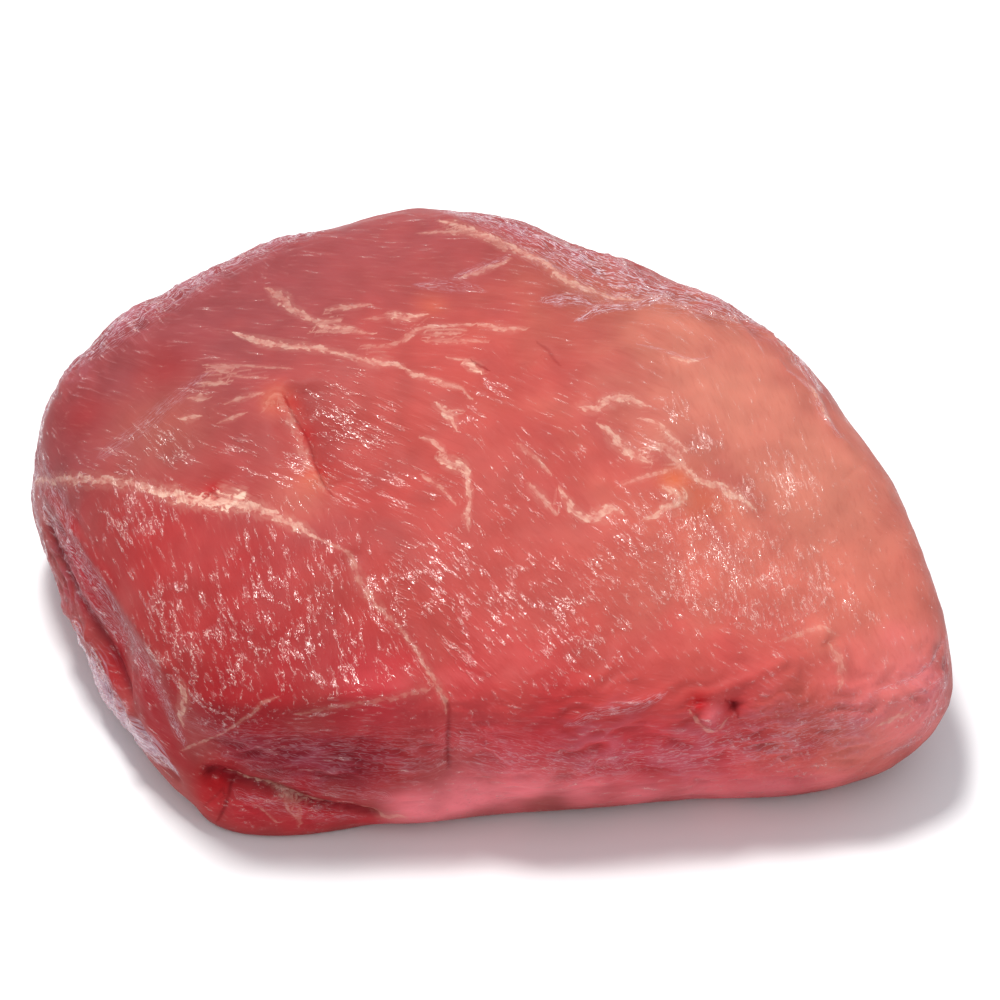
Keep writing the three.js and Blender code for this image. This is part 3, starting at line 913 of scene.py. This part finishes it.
def tapered(along, start, end):
    """1 along a line, fading out over spans of mm from its start and from its end."""
    last = along.max()
    return fade_in(along, *start) * (1 - fade_in(along, last + end[0], last + end[1]))


def add_lines(surface, out, lines, sign, hidden=False):
    """Adds grooves (sign -1), which are sharp at the bottom, or ridges (sign 1), which are round."""
    for width, height, path in lines.values():
        places, _ = surface.laid(path, hidden)
        which, far, _, along, _ = surface.beside(places, width * LINE_REACH)
        profile = np.exp(-far / width) if sign < 0 else np.exp(-((far / width) ** 2))
        out[which] += sign * height * profile * tapered(along, *LINE_ENDS)


def add_steps(surface, out):
    for depth, recovery, path in STEPS.values():
        places, _ = surface.laid(path)
        which, far, side, along, _ = surface.beside(places, recovery * STEP_REACH)
        drop = fade_in(side, *STEP_EDGE) * np.exp(-((far / recovery) ** 2))
        out[which] -= depth * drop * tapered(along, *STEP_ENDS)


def shaped(surface):
    """The grooves, ridges and steps, in mm out along the normal."""
    out = np.zeros(len(surface.points))
    add_lines(surface, out, GROOVES, -1)
    add_lines(surface, out, HIDDEN_GROOVES, -1, hidden=True)
    add_lines(surface, out, RIDGES, 1)
    add_steps(surface, out)
    return out


# ---- What the material reads from the mesh -----------------------------------------------------

FIELD_REACH = 6.0  # how far beyond its half width a line is known to the material
NO_LINE = 20.0  # the side and the distance where no line is near
NO_LINE_RATIO = 9.0  # and that distance as a share of a line's half width
LINE_GAP = 57.0  # each line's pattern starts this much further along than the last one's


def line_field(surface, groups):
    """The nearest line in groups of (lines, hidden): for each vertex the side, the distance and the
    place along the line in mm, then the line's half width there in mm and its strength."""
    count = len(surface.points)
    place = np.tile([NO_LINE, NO_LINE, 0.0], (count, 1))
    half_width = np.ones(count)
    strength = np.zeros(count)
    ratio = np.full(count, NO_LINE_RATIO)
    start = 0.0
    for lines, hidden in groups:
        for power, path in lines.values():
            places, widths = surface.laid(path, hidden)
            which, far, side, along, row = surface.beside(places, widths.max() / 2 + FIELD_REACH)
            half = np.interp(row, np.arange(len(widths)), widths) / 2
            closer = far / half < ratio[which]
            chosen = which[closer]
            ratio[chosen] = (far / half)[closer]
            place[chosen] = np.stack([side, far, start + along], axis=1)[closer]
            half_width[chosen] = half[closer]
            strength[chosen] = power
            start += LINE_GAP
    return place, half_width, strength


def film_cover(film):
    """How far film covers each vertex, more than 1 where it is thick."""
    (_, far, _), half, strength = film[0].T, film[1], film[2]
    return strength * (1 - fade_in(far / half, *FILM_EDGE))


def film_wrinkles(film):
    """Low wrinkles that run along each strip of film, in mm out along the normal."""
    side, _, along = film[0].T
    width, length = FILM_WRINKLE_SIZE
    across = np.stack([side / width, along / length, np.zeros(len(side))], axis=1)
    return FILM_WRINKLE_HEIGHT * film_cover(film) * noise(across, 1.0, 51)


def glisten(surface, film):
    """How wet each vertex looks, from 0 to 1: the places of GLISTENS, and all film."""
    wet = np.maximum(GLISTEN_EVERYWHERE, FILM_GLISTEN * film_cover(film))
    for x, y, reach, strength in GLISTENS:
        far = np.linalg.norm(surface.points - surface.seen(x, y), axis=1)
        wet = np.maximum(wet, strength * np.exp(-((far / reach) ** 2)))
    clumps = fade_in(noise(surface.points, WET_CLUMP_SIZE, 62), *WET_CLUMP_EDGE)
    return wet * (WET_BETWEEN + (1 - WET_BETWEEN) * clumps)


def tones(surface):
    """The meat's tone at each vertex, built up patch by patch and clouded a little. Some patches paint
    shade in recesses and a glow along the bottom edge.
    """
    points = surface.points
    colour = np.tile(TONES[TONE_EVERYWHERE], (len(points), 1))
    wander = 1 + TONE_WANDER * noise(points, TONE_WANDER_SIZE, 41)
    for tone, x, y, reach, strength in TONE_PATCHES:
        far = np.linalg.norm(points - surface.seen(x, y), axis=1) * wander
        share = (strength * np.exp(-((far / reach) ** 2)))[:, None]
        colour = colour * (1 - share) + np.array(TONES[tone]) * share
    clouds = noise(points, 9, 42) + 0.5 * noise(points, 4, 43)
    return colour * (1 - CLOUD_DARKENING * np.clip(clouds, -0.7, 0.9))[:, None]


def with_painted_light(colour, wrinkled, crests, cuts):
    """The tones with a painted lilac sheen on the wrinkles' crests and painted shade in their troughs
    and in the cuts.
    """
    crest = CREST_PAINTED_SHEEN * fade_in(crests, 0.4, 0.9)[:, None]
    trough_shade = TROUGH_PAINTED_SHADE * (wrinkled * (1 - fade_in(crests, 0.05, 0.35)))[:, None]
    cut_shade = CUT_PAINTED_SHADE * fade_in(-cuts, 0.25, 1.6)[:, None]
    colour = colour * (1 - crest) + np.array(TONES["painted_sheen_lilac"]) * crest
    return colour * (1 - trough_shade) * (1 - cut_shade) + np.array(TONES["cut"]) * cut_shade


def store(mesh, name, values):
    """Keeps one number or three per vertex on the mesh for the material."""
    kind = "FLOAT" if values.ndim == 1 else "FLOAT_VECTOR"
    attribute = mesh.attributes.new(name, kind, "POINT")
    field = "value" if values.ndim == 1 else "vector"
    attribute.data.foreach_set(field, values.astype(np.float32).ravel())


def store_lines(mesh, name, lines):
    """Keeps what line_field says of the nearest line."""
    place, half_width, strength = lines
    store(mesh, name, place)
    store(mesh, name + "_width", np.stack([half_width, strength, np.zeros(len(strength))], axis=1))


def flatten_base(piece):
    """Makes few large faces of the flat underside, whose middle nobody sees."""
    bpy.ops.object.mode_set(mode="EDIT")
    bpy.ops.mesh.select_mode(type="FACE")
    bpy.ops.mesh.select_all(action="DESELECT")
    bpy.ops.object.mode_set(mode="OBJECT")
    for face in piece.data.polygons:
        face.select = face.center.z < BASE_LIMIT * MM and face.normal.z < BASE_NORMAL
    bpy.ops.object.mode_set(mode="EDIT")
    bpy.ops.mesh.select_less()
    bpy.ops.mesh.unsubdivide(iterations=BASE_MERGES)
    bpy.ops.object.mode_set(mode="OBJECT")


def make_topside():
    """The meat, shaped and ready for its material."""
    piece = fine_copy("topside", "topside_meat")
    surface = Surface(piece)
    fat = line_field(surface, [(FATS, False), (HIDDEN_FATS, True)])
    film = line_field(surface, [(FILMS, False), (HIDDEN_FILMS, True)])
    creases = line_field(surface, [(CREASES, False)])
    cuts = shaped(surface)
    lie = lie_of_fibres(surface)
    wrinkled, crests = wrinkles(surface)

    out = uneven(surface) + cuts + film_wrinkles(film) + bundles(surface, lie)
    out += WRINKLE_HEIGHT * (crests - crests.mean())
    out *= fade_in(surface.points[:, 2], *BASE_FADE)
    points = surface.points + surface.normals * out[:, None]
    points[:, 2] = np.maximum(points[:, 2], 0)
    write_points(piece.data, points)

    # The tone, with a painted lilac sheen on the wrinkles' crests and painted shade in their troughs
    # and in the cuts.
    store(piece.data, "tone", with_painted_light(tones(surface), wrinkled, crests, cuts))
    store(piece.data, "lay", np.stack([lie, glisten(surface, film), wrinkled], axis=1))
    store_lines(piece.data, "fat", fat)
    store_lines(piece.data, "film", film)
    store_lines(piece.data, "crease", creases)
    flatten_base(piece)
    for face in piece.data.polygons:
        face.use_smooth = True
    return piece


# ---- Material -----------------------------------------------------------------------------------


class Nodes:
    """A short way to write a material's nodes."""

    def __init__(self, name):
        self.material = bpy.data.materials.new(name)
        self.material.use_nodes = True
        self.tree = self.material.node_tree
        self.tree.nodes.clear()

    def add(self, kind, inputs=None, **settings):
        node = self.tree.nodes.new(kind)
        for key, value in settings.items():
            setattr(node, key, value)
        for key, value in (inputs or {}).items():
            self.feed(node.inputs[key], value)
        return node

    def feed(self, socket, value):
        if isinstance(value, bpy.types.NodeSocket):
            self.tree.links.new(value, socket)
        else:
            socket.default_value = value

    def finish(self, shader):
        self.add("ShaderNodeOutputMaterial", {"Surface": shader.outputs[0]})
        return self.material

    def maths(self, operation, a, b=0.0, c=0.0, clamp=False):
        sockets = {0: a, 1: b, 2: c}
        return self.add("ShaderNodeMath", sockets, operation=operation, use_clamp=clamp).outputs[0]

    def span(self, value, low, high, to_low=0.0, to_high=1.0):
        """A value mapped smoothly from one span to another."""
        sockets = {"Value": value, 1: low, 2: high, 3: to_low, 4: to_high}
        return self.add("ShaderNodeMapRange", sockets, interpolation_type="SMOOTHSTEP").outputs[0]

    def contour(self, pattern, value, outer, inner):
        """Thin curled lines where a pattern passes a value, 0 at outer from it and 1 at inner."""
        off = self.maths("ABSOLUTE", self.maths("SUBTRACT", pattern, value))
        return self.span(off, outer, inner)

    def blend(self, share, a, b):
        """One of two colours, or a share of each."""
        return self.add("ShaderNodeMix", {0: share, 6: a, 7: b}, data_type="RGBA").outputs[2]

    def blend_vectors(self, share, a, b):
        return self.add("ShaderNodeMix", {0: share, 4: a, 5: b}, data_type="VECTOR").outputs[1]

    def from_mesh(self, name):
        return self.add("ShaderNodeAttribute", attribute_name=name).outputs["Vector"]

    def parts(self, vector):
        return self.add("ShaderNodeSeparateXYZ", {0: vector}).outputs

    def vector(self, x, y, z):
        return self.add("ShaderNodeCombineXYZ", {0: x, 1: y, 2: z}).outputs[0]

    def mottle(self, place, detail, flat=False):
        """Soft noise from 0 to 1, in lumps one unit of its coordinates long."""
        sockets = {"Vector": place, "Scale": 1.0, "Detail": detail, "Roughness": 0.6}
        size = "2D" if flat else "3D"
        return self.add("ShaderNodeTexNoise", sockets, noise_dimensions=size).outputs["Fac"]

    def shrunk(self, place, size):
        """Coordinates counted in lumps of a size in metres."""
        return self.add("ShaderNodeVectorMath", {0: place, 1: size}, operation="DIVIDE").outputs[0]


FAT_CREAM = (0.78, 0.52, 0.40, 1)
FAT_PINK = (0.66, 0.32, 0.25, 1)
# The film's pale strands and its thick film: partly its own colour, partly a painted highlight and
# reflection.
FILM_WHITE_AND_PAINTED_HIGHLIGHT = (0.72, 0.58, 0.65, 1)
FILM_PURPLE = (0.22, 0.045, 0.075, 1)
FILM_GREY_AND_PAINTED_REFLECTION = (0.64, 0.48, 0.60, 1)
PALE_FIBRE = (0.74, 0.27, 0.21, 1)
# Painted glints on the wet fibres.
PAINTED_GLINT = (0.95, 0.66, 0.58, 1)
# A painted lilac sheen on fine crests of wrinkled meat.
FINE_CREST_PAINTED_SHEEN = (0.62, 0.30, 0.36, 1)
DARK_MEAT = (0.22, 0.008, 0.010, 1)
# Painted shade in thin cracks and folds.
CREASE_PAINTED_SHADE = (0.20, 0.006, 0.009, 1)

MESH_STEP = 0.8  # a line's ends are only known to about this many mm

# Sizes of the material's own patterns and relief, in metres.
FIBRE_SIZE = (0.008, 0.0013, 0.0013)
SPECK_SIZE = (0.0018, 0.0008, 0.0008)
SPECK_HEIGHT = 0.0005
FIBRE_HEIGHT = 0.00020
ROUGH_HEIGHT = 0.0006  # what the fibres' height grows by where the meat is wrinkled

# How much of each colour covers the meat's tone.
PALE_FIBRE_SHARE = 0.07
DARK_FIBRE_SHARE = 0.10
FINE_CREST_PAINTED_SHEEN_SHARE = 0.16
PAINTED_GLINT_SHARES = (0.32, 0.52)  # where the meat is hardly wet, and where it is wettest
THIN_FILM_SHARE = 0.12
THICK_FILM_SHARE = 0.62  # on top of the thin film's
FILM_STRAND_SHARE = 0.65
FAT_FRINGE_SHARE = 0.35

# Spans of the fibres' pattern, in which each look comes in.
PALE_SPAN = (0.50, 0.75)
DARK_SPAN = (0.48, 0.25)
CREST_SPAN = (0.54, 0.68)
GLINT_SPAN = (0.42, 0.56)
FAT_SPAN = (0.35, 0.55)
FAT_BETWEEN = 0.6  # how strong fat is between the fibres

# The meat is moist where the fibres' pattern and a share of the wetness add up to this.
WET_PULL = 0.32
MOIST_SPAN = (0.63, 0.76)
PAINTED_GLINT_SPAN = (0.3, 1.0)  # wetness over which the glints grow

# Curled lines: the pattern's value that they follow, then how far from it they end and are full.
GLINT_CURLS = (0.56, 0.05, 0.005)
FILM_CURLS = (0.5, 0.05, 0.012)
CURL_RISE = 0.05  # how far the glints' lines stand above the specks

# Strands along a line: width in mm, what each mm of half width adds to it, and length in mm.
FILM_FLAKES = (0.35, 0.06, 6.0)
FAT_STRANDS = (1.5, 0.2, 2.4)

# Frayed edges: how many half widths a pattern adds, then where the line ends and where it is full.
FILM_FRAY = (2.4, 2.5, 1.2)
FAT_FRAY = (3.2, 2.85, 2.1)
FAT_FRINGE = (5.0, 4.9, 3.3)

THICK_SPAN = (0.9, 1.8)  # the strengths over which film grows thick
FAT_PINK_SPAN = (0.35, 0.6)
CREASE_REACH = 2.2  # in half widths

FILM_GLOSS = 1.5
CREST_GLOSS = 0.4
SOFT_SHARE = 0.35  # how much of the fine relief shows under the wet coat


def fibre_place(n, lie):
    """Object coordinates turned so that the first runs along the fibres, whichever way they lie."""
    place = n.add("ShaderNodeTexCoord").outputs["Object"]
    back = n.maths("MULTIPLY_ADD", n.maths("ROUND", lie), -TURN_STEP, -CROWN_TURN)
    sockets = {"Vector": place, "Angle": back}
    return n.add("ShaderNodeVectorRotate", sockets, rotation_type="Z_AXIS").outputs[0]


class Line:
    """The nearest line of a kind, as the mesh knows it."""

    def __init__(self, n, name):
        self.side, far, self.along = n.parts(n.from_mesh(name))
        self.half, self.strength, _ = n.parts(n.from_mesh(name + "_width"))
        beyond = n.maths("SUBTRACT", far, MESH_STEP)
        beside = n.maths("MAXIMUM", n.maths("ABSOLUTE", self.side), beyond)
        self.ratio = n.maths("DIVIDE", beside, self.half)

    def pattern(self, n, across, widening, along):
        """A pattern of strands along the line: their width in mm, which grows with the line's half
        width, and their length."""
        width = n.maths("MULTIPLY_ADD", self.half, widening, across)
        strand_across = n.maths("DIVIDE", self.side, width)
        strand_along = n.maths("DIVIDE", self.along, along)
        return n.mottle(n.vector(strand_across, strand_along, 0.0), 2, flat=True)

    def frayed(self, n, pattern, depth, none, full, most=1.0):
        """How far the line covers its place, from 0 to most, with an edge that a pattern frays."""
        return n.span(n.maths("MULTIPLY_ADD", pattern, depth, self.ratio), none, full, 0.0, most)


def film_parts(n):
    """How far a film clouds the meat, how thick it is, and its bright strands, which are partly a
    painted highlight.
    """
    line = Line(n, "film")
    flakes = line.pattern(n, *FILM_FLAKES)
    edge = line.frayed(n, flakes, *FILM_FRAY)
    veil = n.maths("MULTIPLY", edge, n.maths("MINIMUM", line.strength, 1.0))
    thick = n.span(line.strength, *THICK_SPAN)
    share = n.maths("MULTIPLY_ADD", thick, THICK_FILM_SHARE, THIN_FILM_SHARE)
    strands = n.maths("MULTIPLY", n.contour(flakes, *FILM_CURLS), veil)
    return n.maths("MULTIPLY", veil, share), thick, strands


def fat_parts(n, fibres):
    """How far fat covers the meat, feathered out along the meat's fibres, and its own strands."""
    line = Line(n, "fat")
    strands = line.pattern(n, *FAT_STRANDS)
    core = line.frayed(n, strands, *FAT_FRAY)
    fringe = line.frayed(n, fibres, *FAT_FRINGE, FAT_FRINGE_SHARE)
    power = n.maths("MULTIPLY", line.strength, n.span(fibres, *FAT_SPAN, FAT_BETWEEN, 1.0))
    return n.maths("MULTIPLY", n.maths("MAXIMUM", core, fringe), power), strands


def crease_shade(n):
    """Painted shade along thin cracks and folds, too fine for the mesh: its strength at the line, 0
    beside it.
    """
    line = Line(n, "crease")
    return n.maths("MULTIPLY", n.span(line.ratio, CREASE_REACH, 0.0), line.strength)


def glints(n, wet, fibres, specks):
    """Where the meat is moist, the curled lines that its glints follow, and the glints painted into its
    colour.
    """
    moist = n.span(n.maths("MULTIPLY_ADD", wet, WET_PULL, fibres), *MOIST_SPAN)
    curls = n.contour(specks, *GLINT_CURLS)
    broken = n.maths("MULTIPLY", moist, n.span(fibres, *GLINT_SPAN))
    power = n.span(wet, *PAINTED_GLINT_SPAN, *PAINTED_GLINT_SHARES)
    return moist, curls, n.maths("MULTIPLY", n.maths("MULTIPLY", curls, broken), power)


def lean_colour(n, fibres, crests, painted_glints):
    """The lean meat: its tone, with paler and darker fibres, a painted lilac sheen on crests and
    painted glints where it is wet.
    """
    pale = n.span(fibres, *PALE_SPAN, 0.0, PALE_FIBRE_SHARE)
    dark = n.span(fibres, *DARK_SPAN, 0.0, DARK_FIBRE_SHARE)
    lean = n.blend(pale, n.from_mesh("tone"), PALE_FIBRE)
    lean = n.blend(dark, lean, DARK_MEAT)
    lean = n.blend(n.maths("MULTIPLY", crests, FINE_CREST_PAINTED_SHEEN_SHARE), lean, FINE_CREST_PAINTED_SHEEN)
    return n.blend(painted_glints, lean, PAINTED_GLINT)


def covered(n, lean, fibres, film):
    """The lean meat's colour with film, fat and the cracks' painted shade on it. The film's strands and
    thick film are partly painted highlight and reflection.
    """
    haze, thick, film_strands_and_highlights = film
    fat, fat_strands = fat_parts(n, fibres)
    meat = n.blend(haze, lean, n.blend(thick, FILM_PURPLE, FILM_GREY_AND_PAINTED_REFLECTION))
    meat = n.blend(n.maths("MULTIPLY", film_strands_and_highlights, FILM_STRAND_SHARE), meat, FILM_WHITE_AND_PAINTED_HIGHLIGHT)
    fat_colour = n.blend(n.span(fat_strands, *FAT_PINK_SPAN), FAT_CREAM, FAT_PINK)
    meat = n.blend(fat, meat, fat_colour)
    return n.blend(crease_shade(n), meat, CREASE_PAINTED_SHADE)


def fine_relief(n, fibres, wrinkled, specks, curls, moist):
    """The normal of the fibres, and of the specks where the meat is moist."""
    height = n.maths("MULTIPLY", n.maths("MULTIPLY_ADD", curls, CURL_RISE, specks), SPECK_HEIGHT)
    height = n.maths("MULTIPLY", height, moist)
    fibre_height = n.maths("MULTIPLY_ADD", wrinkled, ROUGH_HEIGHT, FIBRE_HEIGHT)
    height = n.maths("MULTIPLY_ADD", fibres, fibre_height, height)
    sockets = {"Height": height, "Distance": 1.0, "Strength": 1.0}
    return n.add("ShaderNodeBump", sockets).outputs[0]


def raw_meat():
    n = Nodes("raw_pork")
    lie, wet, wrinkled = n.parts(n.from_mesh("lay"))
    along = fibre_place(n, lie)
    fibres = n.mottle(n.shrunk(along, FIBRE_SIZE), 2)
    specks = n.mottle(n.shrunk(along, SPECK_SIZE), 1)
    moist, curls, painted_glints = glints(n, wet, fibres, specks)
    # Fine crests where the meat is wrinkled: a painted lilac sheen in the colour, and a glossier coat.
    crests = n.maths("MULTIPLY", n.span(fibres, *CREST_SPAN), wrinkled)
    film = film_parts(n)
    film_gloss = n.maths("MULTIPLY", film[0], FILM_GLOSS, clamp=True)
    gloss = n.maths("MAXIMUM", moist, n.maths("MULTIPLY_ADD", crests, CREST_GLOSS, film_gloss))
    even_normal = n.add("ShaderNodeNewGeometry").outputs["Normal"]
    wet_normal = fine_relief(n, fibres, wrinkled, specks, curls, moist)
    return n.finish(
        n.add(
            "ShaderNodeBsdfPrincipled",
            {
                "Base Color": covered(n, lean_colour(n, fibres, crests, painted_glints), fibres, film),
                "Roughness": 0.42,
                "IOR": 1.36,
                "Specular IOR Level": 0.08,
                "Subsurface Weight": 0.12,
                "Subsurface Radius": (1.0, 0.35, 0.25),
                "Subsurface Scale": 0.003,
                "Coat Weight": gloss,
                "Coat Roughness": 0.07,
                "Coat IOR": 1.45,
                "Normal": n.blend_vectors(SOFT_SHARE, even_normal, wet_normal),
                "Coat Normal": wet_normal,
            },
        )
    )


# ---- Studio -------------------------------------------------------------------------------------

FLOOR_HALF = 2.5
FLOOR_WHITE = (0.93, 0.93, 0.94, 1)
SKY_FRONT = (0.60, 0.60, 0.61, 1)
SKY_BACK = (0.66, 0.70, 0.76, 1)
SKY_BORDER = (-0.7, 0.7)  # the front sky turns into the back one between these y's of a direction

# The key light, in metres and watts.
KEY_PLACE = Vector((-0.12, 0.12, 0.93))
KEY_TARGET = Vector((0, 0, 0.04))
KEY_SIZE = (0.20, 0.17)
KEY_POWER = 7.4
KEY_COLOUR = (1.0, 0.985, 0.96)


def make_floor():
    bpy.ops.object.select_all(action="DESELECT")
    bpy.ops.mesh.primitive_plane_add(size=2 * FLOOR_HALF, location=(0, 0, 0))
    floor = bpy.context.active_object
    floor.name = "floor"
    n = Nodes("floor")
    sockets = {"Base Color": FLOOR_WHITE, "Roughness": 1.0, "Specular IOR Level": 0.0}
    floor.data.materials.append(n.finish(n.add("ShaderNodeBsdfPrincipled", sockets)))


def make_key_light():
    data = bpy.data.lights.new("key", "AREA")
    data.shape = "RECTANGLE"
    data.size, data.size_y = KEY_SIZE
    data.energy = KEY_POWER
    data.color = KEY_COLOUR
    lamp = bpy.data.objects.new("key", data)
    lamp.location = KEY_PLACE
    lamp.rotation_euler = (KEY_TARGET - KEY_PLACE).to_track_quat("-Z", "Y").to_euler()
    bpy.context.scene.collection.objects.link(lamp)


def make_sky():
    """Soft light all round, a little brighter and bluer behind the piece."""
    world = bpy.data.worlds.new("studio")
    world.use_nodes = True
    tree = world.node_tree
    way = tree.nodes.new("ShaderNodeTexCoord")
    parts = tree.nodes.new("ShaderNodeSeparateXYZ")
    share = tree.nodes.new("ShaderNodeMapRange")
    share.interpolation_type = "SMOOTHSTEP"
    share.inputs[1].default_value, share.inputs[2].default_value = SKY_BORDER
    sky = tree.nodes.new("ShaderNodeMix")
    sky.data_type = "RGBA"
    sky.inputs[6].default_value = SKY_FRONT
    sky.inputs[7].default_value = SKY_BACK
    tree.links.new(way.outputs["Generated"], parts.inputs[0])
    tree.links.new(parts.outputs[1], share.inputs[0])
    tree.links.new(share.outputs[0], sky.inputs[0])
    tree.links.new(sky.outputs[2], tree.nodes["Background"].inputs["Color"])
    bpy.context.scene.world = world


# ---- Scene --------------------------------------------------------------------------------------

place_camera()
make_floor()
make_key_light()
make_sky()
bpy.context.scene.view_settings.view_transform = "Standard"

topside = make_topside()
topside.data.materials.append(raw_meat())
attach(topside, "root")
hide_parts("topside")
